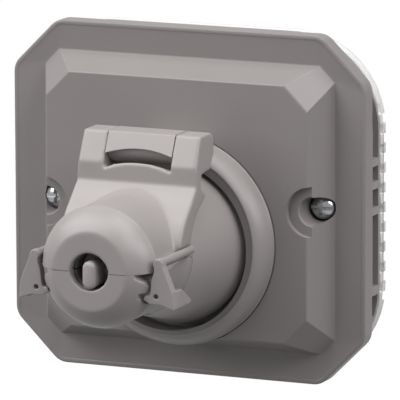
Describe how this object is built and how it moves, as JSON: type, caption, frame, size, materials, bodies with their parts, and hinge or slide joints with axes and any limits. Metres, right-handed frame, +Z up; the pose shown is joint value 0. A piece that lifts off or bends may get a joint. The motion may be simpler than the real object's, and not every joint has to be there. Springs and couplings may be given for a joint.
{
  "type": "weatherproof network socket",
  "caption": "Flush grey network socket with a cut-corner sealed plate, a round collar and a hinged cover whose nose splits to clip round the cable.",
  "frame": {"origin": "centre of the two fixing screws on the wall plane, which is the back face of the wall seal", "axes": "+Z up, +X to the right as seen from the room, +Y into the wall, so the front faces -Y"},
  "size_m": [0.0798, 0.075, 0.0732],
  "materials": {
    "plate_grey": "fine satin grey moulding",
    "ring_grey": "fine satin grey moulding",
    "cover_grey": "fine satin light grey moulding",
    "clip_grey": "satin grey moulding",
    "frame_grey": "satin grey moulding",
    "plug_grey": "soft grey moulding",
    "seal_clear": "pale translucent soft seal",
    "seal_dark": "matt dark grey soft seal",
    "seal_black": "matt black soft seal",
    "screw_steel": "bright zinc plate",
    "pin_steel": "plain steel",
    "shield_steel": "pressed sheet",
    "jack_black": "moulded black",
    "contact_gold": "thin gold plate",
    "organiser_white": "moulded white"
  },
  "bodies": {
    "base": {"front_plate": "plate_grey", "support_frame": "frame_grey", "wall_seal": "seal_clear", "fixing_screws": "screw_steel", "screw_seals": "seal_black", "socket_ring": "ring_grey", "ring_seal": "seal_black", "cover_seal": "seal_dark", "hinge_pin": "pin_steel", "jack_carrier": "frame_grey", "carrier_screws": "screw_steel", "jack_housing": "jack_black", "jack_contacts": "contact_gold", "jack_shield": "shield_steel", "wire_organiser": "organiser_white", "idc_terminals": "contact_gold"},
    "cover": {"cover": "cover_grey", "gland_upper": "seal_dark", "shell_pin": "pin_steel"},
    "lower_shell": {"lower_shell": "cover_grey", "gland_lower": "seal_dark"},
    "clip_left": {"clip_left": "clip_grey"},
    "clip_right": {"clip_right": "clip_grey"},
    "plug": {"blanking_plug": "plug_grey"}
  },
  "joints": [
    {"name": "cover_hinge", "type": "hinge", "parent": "base", "child": "cover", "pos_m": [0, -0.0316, 0.015], "axis": [-1, 0, 0], "range_deg": [0, 100]},
    {"name": "shell_hinge", "type": "hinge", "parent": "cover", "child": "lower_shell", "pos_m": [0, -0.0366, -0.017], "axis": [1, 0, 0], "range_deg": [0, 27]},
    {"name": "clip_right_swing", "type": "hinge", "parent": "cover", "child": "clip_right", "pos_m": [0.0136, -0.05, -0.0036], "axis": [0, -1, 0], "range_deg": [0, 76]},
    {"name": "clip_left_swing", "type": "hinge", "parent": "cover", "child": "clip_left", "pos_m": [-0.0136, -0.05, -0.0036], "axis": [0, 1, 0], "range_deg": [0, 76]},
    {"name": "plug_pull", "type": "slide", "parent": "cover", "child": "plug", "axis": [0, -1, 0], "range_m": [0, 0.015]}
  ],
  "couplings": [
    {"joint": "clip_right_swing", "follows": "shell_hinge", "ratio": 2.8},
    {"joint": "clip_left_swing", "follows": "shell_hinge", "ratio": 2.8}
  ]
}
